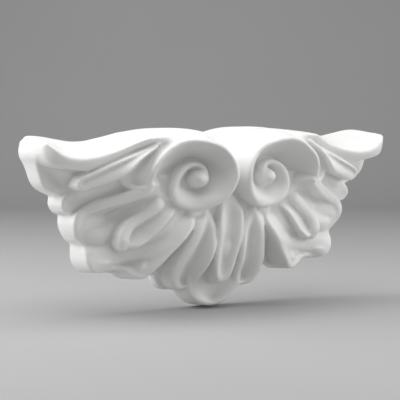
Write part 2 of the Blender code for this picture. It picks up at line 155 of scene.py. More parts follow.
class Bench:
    """A node tree being built, for a material or for geometry."""

    def __init__(self, tree: Any) -> None:
        """Keeps the tree."""
        self.tree = tree

    def node(
        self,
        kind: str,
        settings: dict[str, Any] | None = None,
        sockets: dict[Any, Any] | None = None,
    ) -> Made:
        """Adds a node.

        Args:
            kind: The node's type.
            settings: The node's own settings, which are set before its sockets.
            sockets: A value or a wire for each input, by its name or its place.

        Returns:
            The node.
        """
        node = self.tree.nodes.new(kind)
        for name, value in (settings or {}).items():
            setattr(node, name, value)
        for name, value in (sockets or {}).items():
            if isinstance(value, Wire):
                self.tree.links.new(value.socket, node.inputs[name])
            else:
                node.inputs[name].default_value = value
        return Made(self, node)

    def noise(self, place: Wire, scale: Any, **texture: float) -> Wire:
        """A noise that runs through space.

        Args:
            place: Where the noise is read.
            scale: How fine it is.
            texture: The noise's other inputs, by name.

        Returns:
            The noise, mostly near a half.
        """
        inputs = {"Vector": place, "Scale": scale, **texture}
        return self.node("ShaderNodeTexNoise", {"noise_dimensions": "3D"}, inputs).out("Fac")

    def mixed(self, share: Wire, first: Any, second: Any) -> Wire:
        """A colour between two others.

        Args:
            share: How much there is of the second, from 0 to 1.
            first: The first colour, or a wire of it.
            second: The second colour.

        Returns:
            The mixed colour.
        """
        inputs = {MIX_SHARE: share, MIX_FIRST: first, MIX_SECOND: second}
        return self.node("ShaderNodeMix", {"data_type": "RGBA"}, inputs).out(MIX_COLOUR)

    def feed(self, wire: Wire, socket: Any) -> None:
        """Links a wire to a node's input."""
        self.tree.links.new(wire.socket, socket)


def placed(name: str, data: Any) -> bpy.types.Object:
    """A new object in the scene, at the origin.

    Args:
        name: The object's name.
        data: Its mesh, light or camera.

    Returns:
        The object.
    """
    new = bpy.data.objects.new(name, data)
    bpy.context.scene.collection.objects.link(new)
    return new


def plain_mesh(name: str, drawn: bmesh.types.BMesh) -> bpy.types.Mesh:
    """A mesh of what has been drawn, which is then let go.

    Args:
        name: The mesh's name.
        drawn: The faces.

    Returns:
        The mesh.
    """
    data = bpy.data.meshes.new(name)
    drawn.to_mesh(data)
    drawn.free()
    return data


def aim(stand: bpy.types.Object, way: Vector, distance: float) -> None:
    """Stands a light or camera some way off, turned to the origin.

    Args:
        stand: The light or camera.
        way: The way to it from the origin, one unit long.
        distance: How far off it stands, in metres.
    """
    stand.location = way * distance
    stand.rotation_euler = (-way).to_track_quat("-Z", "Y").to_euler()


def eased(share: Any) -> Any:
    """From 0 to 1, with a flat start and a flat end.

    Args:
        share: One or more numbers, where below 0 counts as 0 and above 1 as 1.

    Returns:
        The eased numbers.
    """
    return np.sin(np.clip(share, 0, 1) * QUARTER_TURN) ** 2


def mirrored(rail: Rail) -> Rail:
    """The same edge on the other side of the centre line."""
    return [(-x, z, d) for x, z, d in rail]


def spline(a: Any, b: Any, c: Any, d: Any, t: Any) -> Any:
    """The smooth curve from one value to the next.

    Args:
        a: The value before.
        b: The value at its start.
        c: The value at its end.
        d: The value after.
        t: How far along it, from 0 to 1.

    Returns:
        The value there.
    """
    square, cube = 2 * a - 5 * b + 4 * c - d, 3 * b - a - 3 * c + d
    return 0.5 * (2 * b + (c - a) * t + square * t**2 + cube * t**3)


def even_curve(points: Rail, count: int) -> np.ndarray:
    """A smooth curve through points.

    Args:
        points: The points that the curve goes through.
        count: How many points the result has.

    Returns:
        Points at even spacing along the curve.
    """
    knots = np.array(points, float)
    ends = np.vstack([2 * knots[0] - knots[1], knots, 2 * knots[-1] - knots[-2]])
    t = np.linspace(0, 1, FINE_STEPS, endpoint=False)[:, None]
    spans = [spline(*four, t) for four in zip(ends[:-3], ends[1:-2], ends[2:-1], ends[3:])]
    fine = np.vstack([*spans, knots[-1:]])
    travel = np.concatenate([[0], np.cumsum(np.linalg.norm(np.diff(fine, axis=0), axis=1))])
    even = np.linspace(0, travel[-1], count)
    axes = range(fine.shape[1])
    return np.column_stack([np.interp(even, travel, fine[:, axis]) for axis in axes])


@dataclass(kw_only=True)
class Carving:
    """A part of the relief, in millimetres: a front surface, whose sides run back to the wall."""

    name: str = "carving"
    flare: float = radians(6)
    symmetry: Symmetry = Symmetry.PAIRED
    side_steps: int = 6
    sink: float = 4.0

    def surface(self) -> Grid:
        """The front surface as rows and columns of points."""
        raise NotImplementedError

    def _rim(self, grid: Grid) -> tuple[np.ndarray, np.ndarray]:
        """The points around the edge of the surface.

        Args:
            grid: The surface.

        Returns:
            The points in order, and the way out from the surface at each of them.
        """
        loop = np.vstack([grid[:-1, 0], grid[-1, :-1], grid[:0:-1, -1], grid[0, :0:-1]])
        after = np.roll(loop, -1, axis=0)
        travel = after[:, :2] - np.roll(loop, 1, axis=0)[:, :2]
        out = np.column_stack([travel[:, 1], -travel[:, 0]])
        out /= np.maximum(np.linalg.norm(out, axis=1), TINY)[:, None]
        turned = np.sum(loop[:, 0] * after[:, 1] - loop[:, 1] * after[:, 0])
        return loop, out * np.sign(turned)

    def add_to(self, mesh: bmesh.types.BMesh) -> None:
        """Adds the carving as a closed body.

        Args:
            mesh: The mesh that takes it.
        """
        grid = self.surface()
        rows, columns = grid.shape[:2]
        front = [[mesh.verts.new(metres(point)) for point in row] for row in grid]
        for r in range(rows - 1):
            for c in range(columns - 1):
                mesh.faces.new((front[r][c], front[r][c + 1], front[r + 1][c + 1], front[r + 1][c]))
        edge = (
            [front[r][0] for r in range(rows - 1)]
            + front[-1][:-1]
            + [front[r][-1] for r in range(rows - 1, 0, -1)]
            + front[0][:0:-1]
        )
        loop, out = self._rim(grid)
        for step in range(1, self.side_steps + 1):
            share = step / self.side_steps
            level = loop.copy()
            level[:, 2] = loop[:, 2] * (1 - share) - self.sink * share
            level[:, :2] += out * ((loop[:, 2] - level[:, 2]) * tan(self.flare))[:, None]
            ring = [mesh.verts.new(metres(point)) for point in level]
            for a in range(len(ring)):
                b = (a + 1) % len(ring)
                mesh.faces.new((edge[a], edge[b], ring[b], ring[a]))
            edge = ring
        mesh.faces.new(edge)


def metres(point: np.ndarray) -> Point:
    """A drawn point (x, z, d) in the casting's own axes, in metres."""
    return (point[0] * MILLIMETRE, -point[2] * MILLIMETRE, point[1] * MILLIMETRE)


@dataclass(kw_only=True)
class Leaf(Carving):
    """A leaf between two edges, each drawn from root to tip, with a channel sunk between them."""

    outer: Rail
    inner: Rail
    hollow: float = 0.0
    root_fade: float = 0.12
    tip_fade: float = 0.15
    squareness: float = 2.0
    lean: float = 1.0
    sag: float = 0.0
    crown: float = 0.0
    arch: float = 0.0
    arch_skew: float = 1.5
    roll: float = 3.0
    rows: int = 96
    roll_steps: int = 6
    column_width: float = 3.0
    least_columns: int = 15

    def depth_at(self, share: np.ndarray) -> np.ndarray:
        """How deep the channel lies.

        Args:
            share: Places across the leaf, 0 at its outer edge and 1 at its inner edge.

        Returns:
            The depth at each place.
        """
        rim = np.abs(np.cos(pi * share**self.lean)) ** self.squareness
        return self.hollow * (1 - rim) + self.sag * np.sin(pi * share)

    def _square_to(self, rail: np.ndarray, towards: np.ndarray) -> np.ndarray:
        """Unit vectors square to an edge.

        Args:
            rail: The points of the edge.
            towards: Vectors on the side that the result is to point to.

        Returns:
            A vector in the plane of the wall for each point.
        """
        along = np.gradient(rail[:, :2], axis=0)
        square = np.column_stack([-along[:, 1], along[:, 0]])
        square /= np.maximum(np.linalg.norm(square, axis=1), TINY)[:, None]
        widest = np.argmax(np.linalg.norm(towards, axis=1))
        return square * np.sign(square[widest] @ towards[widest])

    def _tip(
        self,
        centre: np.ndarray,
        sides: tuple[np.ndarray, np.ndarray],
        share: np.ndarray,
        turns: np.ndarray,
    ) -> Grid:
        """The rows that roll over the leaf's tip.

        Args:
            centre: The tip's middle.
            sides: The ways out from the outer and inner edges there.
            share: Places across the leaf.
            turns: The angles of the rolled edge.

        Returns:
            The rows of points.
        """
        first, last = sides
        ahead = first + last
        ahead /= max(np.linalg.norm(ahead), TINY)
        swing = 2 * share[:, None]
        onward = ahead + (last - ahead) * (swing - 1)
        fan = np.where(swing < 1, first + (ahead - first) * swing, onward)
        fan /= np.linalg.norm(fan, axis=1)[:, None]
        steps = len(turns)
        start, end = np.repeat(fan[:1], steps, axis=0), np.repeat(fan[-1:], steps, axis=0)
        fan = np.vstack([start, fan, end])
        own = np.concatenate([turns[::-1], np.zeros(len(share)), turns])
        rolled = []
        for turn in turns:
            reach = np.maximum(own, turn)
            across = centre[:2] + self.roll * np.sin(reach)[:, None] * fan
            rolled.append(np.column_stack([across, centre[2] - self.roll * (1 - np.cos(reach))]))
        return np.array(rolled)

    def surface(self) -> Grid:
        """The leaf's front: its edges and tip rolled over, its channel sunk between them.

        Returns:
            A row of points for each place from root to tip, then the rows over the tip.
        """
        outer = even_curve(self.outer, self.rows)
        inner = even_curve(self.inner, self.rows)
        across = (outer - inner)[:, :2]
        widest = np.linalg.norm(across, axis=1).max()
        columns = max(self.least_columns, round(widest / self.column_width))
        out_side = self._square_to(outer, across)
        in_side = self._square_to(inner, -across)
        along = np.linspace(0, 1, self.rows)
        begun, open_end = eased(along / self.root_fade), eased((1 - along) / self.tip_fade)
        share = np.linspace(0, 1, columns)
        sunk, swell = self.depth_at(share), self.crown * np.sin(pi * share)
        arch = self.arch * np.sin(pi * share**self.arch_skew)
        turns = np.linspace(0, QUARTER_TURN, self.roll_steps)[1:]
        grid = []
        for r in range(self.rows):
            middle = outer[r] + (inner[r] - outer[r]) * share[:, None]
            middle[:, 1] += arch * open_end[r]
            middle[:, 2] += swell * (1 - begun[r]) - sunk * begun[r] * open_end[r]
            edges = []
            for rail, side in ((outer[r], out_side[r]), (inner[r], in_side[r])):
                edge = np.repeat(rail[None], len(turns), axis=0)
                edge[:, :2] += self.roll * np.sin(turns)[:, None] * side
                edge[:, 2] -= self.roll * (1 - np.cos(turns))
                edges.append(edge)
            grid.append(np.vstack([edges[0][::-1], middle, edges[1]]))
        tip = self._tip((outer[-1] + inner[-1]) / 2, (out_side[-1], in_side[-1]), share, turns)
        return np.vstack([np.array(grid), tip])


@dataclass(kw_only=True)
class Scroll(Carving):
    """The scroll: a channel that winds in to the eye. Its lists go by eighths of a turn."""

    eye: tuple[float, float] = (40, 30)
    first_eighth: int = -3
    ridge_radius: list[float] = field(default_factory=list)
    ridge_depth: list[float] = field(default_factory=list)
    channel_depth: list[float] = field(default_factory=list)
    channel_belly: list[float] = field(default_factory=list)
    foot_lap: float = 1.0
    roll: float = 3.6
    roll_steps: int = 6
    per_eighth: int = 16
    columns: int = 23

    def _along(self, values: list[float], eighths: np.ndarray) -> np.ndarray:
        """A smooth run through a list.

        Args:
            values: One value for each eighth of a turn.
            eighths: Places on the spiral, in eighths of a turn.

        Returns:
            The value at each place.
        """
        at = np.clip(eighths - self.first_eighth, 0, len(values) - 1)
        low = np.minimum(at.astype(int), len(values) - 2)
        padded = np.array([values[0], *values, values[-1]], float)
        return spline(*(padded[low + k] for k in range(4)), at - low)

    def surface(self) -> Grid:
        """The channel as a spiral band, from its ridge in to the foot of the next turn.

        Returns:
            A row of points for each place on the spiral, from its ridge inwards.
        """
        last = self.first_eighth + len(self.ridge_radius) - 1
        count = (last - self.first_eighth) * self.per_eighth + 1
        eighths = np.linspace(self.first_eighth, last, count)
        outer = self._along(self.ridge_radius, eighths)
        wound = eased(eighths + TURN - last)
        inner = (self._along(self.ridge_radius, eighths + TURN) - self.foot_lap) * (1 - wound)
        ridge = self._along(self.ridge_depth, eighths)
        floor = self._along(self.channel_depth, eighths)
        belly = self._along(self.channel_belly, eighths)
        turn = np.linspace(0, QUARTER_TURN, self.roll_steps)[::-1]
        across = np.linspace(0, 1, self.columns)[1:]
        grid = np.empty((len(eighths), self.columns - 1 + self.roll_steps, 3))
        for r, eighth in enumerate(eighths):
            lip = outer[r] + self.roll * np.sin(turn)
            radius = np.concatenate([lip, outer[r] + (inner[r] - outer[r]) * across])
            angle = 2 * pi * eighth / TURN
            grid[r, :, 0] = self.eye[0] + radius * cos(angle)
            grid[r, :, 1] = self.eye[1] + radius * sin(angle)
            sunk = (ridge[r] - floor[r]) * eased(across ** belly[r])
            grid[r, :, 2] = ridge[r] - np.concatenate([self.roll * (1 - np.cos(turn)), sunk])
        return grid


@dataclass(kw_only=True)
class Knob(Carving):
    """The button at the scroll's eye."""

    centre: tuple[float, float] = (37.5, 27)
    foot_centre: tuple[float, float] = (34.5, 26.5)
    radii: tuple[float, float] = (12, 10.8)
    bluntness: float = 0.65
    taper: float = 0.33
    top: float = 77
    foot: float = 50
    rows: int = 17
    columns: int = 49
    last_tilt: float = 0.999

    def surface(self) -> Grid:
        """A dome that leans a little from its foot to its top.

        Returns:
            Rings of points, from the foot to the top.
        """
        grid = np.empty((self.rows, self.columns, 3))
        turns = np.linspace(0, 2 * pi, self.columns)
        for r in range(self.rows):
            tilt = min(r / (self.rows - 1), self.last_tilt) * QUARTER_TURN  # just short of a pole
            rise = sin(tilt) ** self.bluntness
            spread = cos(tilt) ** self.bluntness * (1 - self.taper * rise)
            middle = [low + (high - low) * rise for low, high in zip(self.foot_centre, self.centre)]
            grid[r, :, 0] = middle[0] + self.radii[0] * spread * np.cos(turns)
            grid[r, :, 1] = middle[1] + self.radii[1] * spread * np.sin(turns)
            grid[r, :, 2] = self.foot + (self.top - self.foot) * rise
        return grid


@dataclass(frozen=True)
class Station:
    """A section of the wing: its place across, its back and front edges, and its lip."""

    x: float
    back_z: float
    front_z: float
    front_d: float
    lip_z: float
    lip_d: float


@dataclass(kw_only=True)
class Wing(Carving):
    """The wing: its top from the back edge to the front edge, then its front down to the lip."""

    stations: list[Station] = field(default_factory=list)
    top_share: float = 0.7
    droop: float = 3.0
    dent: float = 3.5
    dent_x: float = 169
    dent_reach: float = 14
    rows: int = 90
    columns: int = 26

    def surface(self) -> Grid:
        """The wing's top and front, with the shallow dent near its end.

        Returns:
            A row of points for each section, from the back edge down to the lip.
        """
        table = [(s.x, s.back_z, s.front_z, s.front_d, s.lip_z, s.lip_d) for s in self.stations]
        sections = even_curve(table, self.rows)
        across = np.linspace(0, 1, self.columns)
        top = np.clip(across / self.top_share, 0, 1)
        face = np.clip((across - self.top_share) / (1 - self.top_share), 0, 1)
        grid = np.empty((self.rows, self.columns, 3))
        for r, (x, back_z, front_z, front_d, lip_z, lip_d) in enumerate(sections):
            nearness = np.exp(-(((x - self.dent_x) / self.dent_reach) ** 2))
            dent = self.dent * nearness * np.sin(pi * top) ** 2
            grid[r, :, 0] = x
            crest = back_z + (front_z - back_z) * top**self.droop - dent
            grid[r, :, 1] = crest + (lip_z - front_z) * face
            grid[r, :, 2] = front_d * top + (lip_d - front_d) * face**2
        return grid


@dataclass(kw_only=True)
class Mound(Carving):
    """The swelling ground under the leaves, from its outline up to its crown."""

    outline: list[tuple[float, float]] = field(default_factory=list)
    depth: float = 14
    crown: tuple[float, float] = (0, 10)
    crown_depth: float = 56
    crown_share: float = 0.6
    rows: int = 28
    columns: int = 180

    def surface(self) -> Grid:
        """Rings that close in on the crown.

        Returns:
            Rings of points, from the outline to the crown.
        """
        half = np.array(self.outline, float)
        rim = even_curve(np.vstack([half, half[-2:0:-1] * [-1, 1], half[:1]]), self.columns)
        grid = np.empty((self.rows, self.columns, 3))
        for r, share in enumerate(np.linspace(0, 1, self.rows)):
            grid[r, :, :2] = rim + (np.array(self.crown) - rim) * share
            rise = eased(share / self.crown_share)
            grid[r, :, 2] = self.depth + (self.crown_depth - self.depth) * rise
        return grid


def centre_carvings() -> list[Carving]:
    """The ground, and the tongue and leaves at the middle of the corbel.

    Returns:
        The carvings at the middle.
    """
    tongue = [
        (4, 8, 58), (9, -2, 62.5), (11.3, -11, 64.5), (11.4, -25, 63.5), (10.6, -38, 59.5),
        (9.7, -50, 55.5), (8.6, -60, 52), (7, -68, 49), (4, -73.5, 46), (0, -75, 44.5),
    ]
    lowest = [
        (14, -40, 40), (24, -62, 35), (26.5, -76, 31), (25.5, -85, 28), (20, -92.3, 26.5),
        (11, -97.6, 25.5), (0, -99.6, 25),
    ]
    return [
        Mound(
            name="ground", symmetry=Symmetry.CENTRAL,
            outline=[
                (0, 58), (20, 62), (50, 64), (80, 63), (96, 61), (118, 57), (140, 55), (160, 57),
                (182, 58), (188, 52), (184, 38), (179, 26), (170, 18), (161, 10), (158, 0),
                (150, -8), (149, -22), (139, -36), (140, -45), (137, -56), (129, -61), (112, -64),
                (92, -66), (74, -67), (58, -68), (50, -76), (42, -83), (26, -89), (12, -101),
                (0, -104),
            ],
        ),
        Leaf(
            name="centre tongue", symmetry=Symmetry.CENTRAL, outer=tongue, inner=mirrored(tongue),
            hollow=5.5, root_fade=0.25, tip_fade=0.22, squareness=2.4, roll=2.4,
        ),
        Leaf(
            name="spoon leaf",
            outer=[(30, 3, 48), (31.5, -5, 57), (33.5, -14, 62), (35.5, -24, 62), (39, -34.5, 57.5),
                   (43, -45, 51), (46.5, -55, 44.5), (47.5, -66, 37.5), (46, -74, 32.5),
                   (41.5, -79.5, 29), (34, -81.5, 26.5)],
            inner=[(22, 3, 50), (21.5, -6, 57), (19.5, -16, 60.5), (17.8, -27, 60.5),
                   (17.4, -38, 60), (17.8, -48, 57), (19, -57, 51.5), (21, -66, 43), (23, -74, 35),
                   (26.5, -79.5, 29), (34, -81.5, 26.5)],
            hollow=9.5, crown=5, root_fade=0.5, tip_fade=0.15, lean=1.3, roll=3.5,
        ),
        Leaf(
            name="lower layer leaf",
            outer=[(38, -8, 56), (46, -30, 42), (53, -52, 26), (54.5, -66, 15), (53.5, -74, 12),
                   (50, -80, 11), (44, -83, 10.5), (38, -83.5, 11)],
            inner=[(28, -8, 58), (30, -30, 48), (32, -55, 32), (32, -72, 20), (34, -80, 14),
                   (38, -83.5, 11)],
            hollow=2,
        ),
        Leaf(
            name="lowest leaf", symmetry=Symmetry.CENTRAL, outer=lowest, inner=mirrored(lowest),
            hollow=5, tip_fade=0.25, roll=4,
        ),
    ]


def great_leaf_carvings() -> list[Carving]:
    """The great leaf, and what swells on it or lies at its root.

    Returns:
        The great leaf, the collar, its belly, its toes and its upper ridge.
    """
    return [
        Leaf(
            name="great leaf",
            outer=[(86, 31, 58), (86.5, 26.5, 68), (88, 22, 73.5), (94, 16.9, 68.8),
                   (103, 12.3, 61), (120.5, 5.5, 44), (138, -2.5, 29.5), (145, -9, 30),
                   (147, -17, 30), (143.3, -25.5, 27.5), (136, -34.5, 25.5), (135.5, -42.5, 30),
                   (134.5, -51, 31.5), (129, -57.5, 31), (119, -59, 27.5), (108, -57.5, 30),
                   (99, -59, 33), (92, -64, 36), (86, -66.5, 38.5), (81, -66, 40)],
            inner=[(67, 28, 44), (69.5, 23, 49), (70.5, 17, 54.5), (66, 8, 57.5), (57, 2, 56.5),
                   (46.5, -3, 55), (41.5, -10, 59.5), (43, -18.5, 62.5), (49.5, -27, 62.5),
                   (56.5, -35.5, 59.5), (62, -42.5, 55.5), (68, -50.5, 51), (74, -57.5, 46.5),
                   (78.5, -63, 42.5), (81, -66, 40)],
            hollow=8, sag=2, crown=2, root_fade=0.34, tip_fade=0.25, lean=0.85, roll=3.6,
        ),
        Leaf(
            name="collar under the scroll",
            outer=[(27, 1, 56), (33, 0.5, 58), (41, 1, 58), (48, 2, 56)],
            inner=[(27, -11, 57), (33, -12.5, 59), (41, -13, 59), (48, -11, 56)],
            hollow=-2.5, root_fade=0.3, tip_fade=0.3, roll=1, flare=0,
        ),
        Leaf(
            name="great leaf's belly",
            outer=[(80, 9, 55), (93, 4, 46.5), (106, -3, 36.5), (119, -9, 30.5), (131, -13.5, 28.5),
                   (139, -18, 28), (141.5, -24, 26.5)],
            inner=[(80, 2, 55), (88, -5, 46), (97, -14, 38), (105, -25, 30.5), (113, -35, 27.5),
                   (123, -40, 26.5), (133, -37, 25.5), (140, -30, 25.5), (141.5, -24, 26.5)],
            hollow=-6, root_fade=0.2, tip_fade=0.25, squareness=2.4, roll=1, flare=0,
        ),
        Leaf(
            name="great leaf's left toe",
            outer=[(104, -50, 28), (112, -47, 29.5), (122, -46, 29), (130, -48, 28),
                   (133, -52, 27)],
            inner=[(104, -57, 26), (112, -58, 27), (122, -59, 26.5), (130, -57.5, 26.5),
                   (133, -52, 27)],
            hollow=-5.5, root_fade=0.6, tip_fade=0.3, roll=1, flare=0,
        ),
        Leaf(
            name="great leaf's right toe",
            outer=[(82, -46, 39), (89, -51, 35), (94, -56, 32), (93, -61, 32), (87, -64.5, 35)],
            inner=[(74, -48, 43), (74, -55, 43), (76, -60.5, 41), (81, -64, 38.5), (87, -64.5, 35)],
            hollow=-4.5, root_fade=0.6, tip_fade=0.5, roll=1, flare=0,
        ),
        Leaf(
            name="great leaf's upper ridge",
            outer=[(88, 23.5, 62), (90, 21.6, 71), (95, 18.8, 69.5), (104, 14.2, 62.5),
                   (112.6, 10.6, 54.5), (121.6, 7.2, 46), (130.6, 3.6, 38), (139.4, -1, 33),
                   (146, -7, 32.5), (147.8, -15, 32), (145.7, -23, 28.5), (142, -30, 22)],
            inner=[(87, 21.5, 62), (89, 19, 71), (93.4, 15.8, 69.5), (102.3, 11, 62.5),
                   (110.9, 7.4, 54.5), (119.9, 4.2, 46), (128.9, 0.6, 38), (137.8, -3.6, 33),
                   (143.8, -8.8, 32.5), (145.5, -15, 32), (143.5, -22, 28.5), (140, -29, 22)],
            roll=3.4,
        ),
    ]


def side_carvings() -> list[Carving]:
    """The looped leaf, and the leaves between the great leaf and the wing.

    Returns:
        The carvings at the side.
    """
    return [
        Leaf(
            name="looped leaf's ridge",
            outer=[(68, 11, 48), (71.5, 8.5, 56), (75, 5.2, 60.3), (79.5, 1.6, 60),
                   (85, -2.8, 57.2), (91, -6.8, 54.2), (97.4, -11.7, 51.6), (103.2, -17.3, 50.2),
                   (107, -24, 50), (108, -30.5, 49.5), (106.4, -36.5, 46.5)],
            inner=[(66.5, 9.2, 48), (70, 6.6, 56), (73.6, 3.2, 60.3), (78.2, -0.4, 60),
                   (83.7, -4.7, 57.2), (89.7, -8.7, 54.2), (96, -13.4, 51.6), (101.5, -18.7, 50.2),
                   (104.8, -25, 50), (105.6, -31, 49.5), (104.6, -36.5, 46.5)],
            roll=4.6,
        ),
        Leaf(
            name="looped leaf's spoon",
            outer=[(62, 6, 46), (66, 1.5, 54), (72, -3.5, 54.5), (79, -8.5, 52), (86, -13.5, 48.5),
                   (92, -19, 45.5), (96.5, -25, 44), (99.6, -31, 44.5), (99.3, -36.3, 48)],
            inner=[(54, 3, 46), (58.5, -1.5, 55.5), (63.5, -6.5, 61), (68.5, -11.5, 61.5),
                   (73.5, -17.5, 61), (78.5, -23, 58.8), (83.5, -28, 56), (89, -32, 54.2),
                   (94, -35.5, 52.4), (99.3, -36.3, 48)],
            hollow=1, root_fade=0.3, tip_fade=0.2, lean=0.7, roll=2,
        ),
        Leaf(
            name="upper layer leaf",
            outer=[(96, 30, 60), (120, 24, 45), (145, 16.5, 32), (155, 11.5, 28), (159, 7, 27),
                   (159.5, 3, 27)],
            inner=[(90, 18, 58), (108, 10.5, 45), (130, 1.5, 30), (148, -3, 26), (156, -2, 25.5),
                   (159.5, 3, 27)],
            hollow=0.5, roll=2,
        ),
        Leaf(
            name="scroll leaf",
            outer=[(67, 65.5, 75), (80, 61.5, 72), (93, 53.5, 68), (101, 47, 65), (107, 39.5, 62),
                   (111.5, 33, 58.5), (111.5, 27, 56.5), (107, 21.5, 59), (99.5, 20.5, 67)],
            inner=[(64, 64, 83), (70, 59.5, 84), (78, 52.5, 81), (84.5, 45, 78.5), (88.5, 37, 77),
                   (91, 30, 75.5), (92, 25.5, 74), (95, 22, 71), (99.5, 20.5, 69)],
            hollow=5, root_fade=0.2, tip_fade=0.15, lean=0.9, roll=1.4, flare=0,
        ),
        Leaf(
            name="finger leaf",
            outer=[(82, 60, 73), (94, 54, 70.5), (108, 47.7, 67), (126, 40, 62), (143, 32.3, 57.5),
                   (151, 28.3, 54), (153.5, 23, 50)],
            inner=[(86, 59, 75), (97, 51.5, 74.5), (104, 45, 73), (109.5, 38.5, 71),
                   (115.5, 32.5, 67), (123, 28.5, 61.5), (132, 25.5, 57), (141, 22.5, 53),
                   (148.5, 20, 50), (153.5, 23, 50)],
            hollow=3, root_fade=0.2, tip_fade=0.1, lean=0.42, roll=2.4, flare=0,
        ),
    ]


def crest_carvings() -> list[Carving]:
    """The scroll with its knob and the roof over it, and the wing beside it.

    Returns:
        The carvings along the top.
    """
    return [
        Leaf(
            name="wing slab",
            outer=[(150, 58, 20), (172, 58, 30), (184, 57, 42), (186, 51, 38), (183.5, 44, 28),
                   (181, 37, 24.5), (178, 28, 24), (174.5, 22.5, 21.6), (169, 18.5, 19)],
            inner=[(100, 50, 45), (104, 40, 45), (110, 32, 42), (125, 22, 40), (140, 15, 35),
                   (150, 13, 28), (160, 15, 22), (169, 18.5, 19)],
            hollow=4, root_fade=0.3, tip_fade=0.3,
        ),
        Leaf(
            name="roof",
            outer=[(-10, 58, 22), (0, 64.9, 22), (8, 67.6, 20), (18, 69.8, 17), (30, 71, 14),
                   (45, 71.2, 12), (62, 70.9, 10), (80, 69, 6), (98, 64.8, 2)],
            inner=[(-10, -6, 44), (0, 12, 56), (5, 32, 72), (10, 41.5, 80), (15, 49.5, 83),
                   (22, 57, 84), (32, 62.5, 85), (46, 65, 85.5), (60, 63.5, 85.5), (70, 58.5, 82)],
            hollow=-4, arch=7, tip_fade=0.35, roll=1.6, flare=0,
        ),
        Scroll(
            name="scroll", flare=radians(1.5),
            ridge_radius=[38, 38.5, 41, 49.5, 40.5, 31.4, 31.2, 32.1, 31.6,
                          29.7, 29, 18.5, 12, 9.5, 8.5, 7.5, 7, 6.5],
            ridge_depth=[34, 34, 36, 76, 83.5, 87.5, 87.5, 88.3, 78.5,
                         66, 64.5, 68, 68.5, 68, 70, 72, 74, 75],
            channel_depth=[32, 33, 34, 48, 53, 54, 56, 57, 52,
                           46, 44, 44, 48, 54, 60, 64, 68, 70],
            channel_belly=[0.7, 0.7, 0.5, 0.5, 0.6, 0.6, 0.6, 0.65, 0.9,
                           1.4, 1.2, 1, 0.8, 0.7, 0.6, 0.6, 0.6, 0.6],
        ),
        Knob(name="knob", flare=0),
        Wing(
            name="wing", flare=radians(4),
            stations=[
                Station(70, 71.5, 67.5, 73, 58, 70),
                Station(90, 69.2, 66.8, 73, 58, 64),
                Station(102, 66.5, 62.6, 67.5, 52, 58),
                Station(114, 64, 56.8, 63, 46, 54),
                Station(128, 61.5, 52.2, 61, 40.5, 52),
                Station(143, 61.5, 49, 60.5, 36.5, 51.5),
                Station(157, 64, 48, 60, 38, 52),
                Station(170, 66.5, 51, 59.5, 40, 52),
                Station(180, 67.5, 58, 57, 43, 52),
                Station(186, 67, 63, 52, 48, 49),
                Station(188.5, 64, 61, 47, 53, 45),
            ],
        ),
    ]


def carvings() -> list[Carving]:
    """Every carving of the corbel, as drawn."""
    return centre_carvings() + great_leaf_carvings() + side_carvings() + crest_carvings()


@dataclass(frozen=True)
class WhitePrimer:
    """White primer over a casting: soft sheen, fine tooth, duller hollows with painted shade,
    smoother ridges with painted highlight.
    """

    slot: str = "primed white"
    white: Colour = (0.83, 0.83, 0.82, 1.0)
    # painted shade: the darker colour that the hollows and creases are given
    painted_shade: Colour = (0.74, 0.74, 0.73, 1.0)
    # painted highlight: the lighter colour that the ridges are given, up to the share below
    painted_highlight: Colour = (0.88, 0.88, 0.87, 1.0)
    painted_highlight_share: float = 0.6
    roughness: float = 0.5
    hollow_dulling: float = 0.12
    ridge_polish: float = 0.08
    cloud_dulling: float = 0.1
    cloud_scale: float = 28
    cloud_detail: float = 4.0
    cloud_breakup: float = 0.55
    cloud_share: float = 0.35
    tooth_scale: float = 900
    tooth_detail: float = 3.0
    tooth_breakup: float = 0.6
    tooth_height: float = 0.00004
    tooth_strength: float = 0.35

    def material(self) -> bpy.types.Material:
        """The finish as a material.

        Returns:
            The material, which reads how hollow the casting is from its vertices.
        """
        material = bpy.data.materials.new(self.slot)
        material.use_nodes = True
        bench = Bench(material.node_tree)
        shader = material.node_tree.nodes["Principled BSDF"]
        place = bench.node("ShaderNodeTexCoord").out("Object")
        hollow = bench.node("ShaderNodeAttribute", {"attribute_name": "hollow"}).out("Fac")
        clouds = bench.noise(
            place, self.cloud_scale, Detail=self.cloud_detail, Roughness=self.cloud_breakup
        )
        tooth = bench.noise(
            place, self.tooth_scale, Detail=self.tooth_detail, Roughness=self.tooth_breakup
        )
        # masks from the hollow attribute: depth sets the painted shade and ridge sets the painted
        # highlight, and both also set the roughness
        depth = (hollow * 2.0 - 1.0 + (clouds - 0.5) * self.cloud_share).clamped()
        ridge = (1.0 - hollow * 2.0 + (clouds - 0.5) * self.cloud_share).clamped()
        # painted shade darkens the hollows, then painted highlight lightens the ridges
        sunk = bench.mixed(depth, self.white, self.painted_shade)
        colour = bench.mixed(ridge * self.painted_highlight_share, sunk, self.painted_highlight)
        bench.feed(colour, shader.inputs["Base Color"])
        dulled = self.roughness + depth * self.hollow_dulling - ridge * self.ridge_polish
        bench.feed(dulled + (clouds - 0.5) * self.cloud_dulling, shader.inputs["Roughness"])
        bump = {"Strength": self.tooth_strength, "Distance": self.tooth_height, "Height": tooth}
        bench.feed(bench.node("ShaderNodeBump", {}, bump).out("Normal"), shader.inputs["Normal"])
        return material


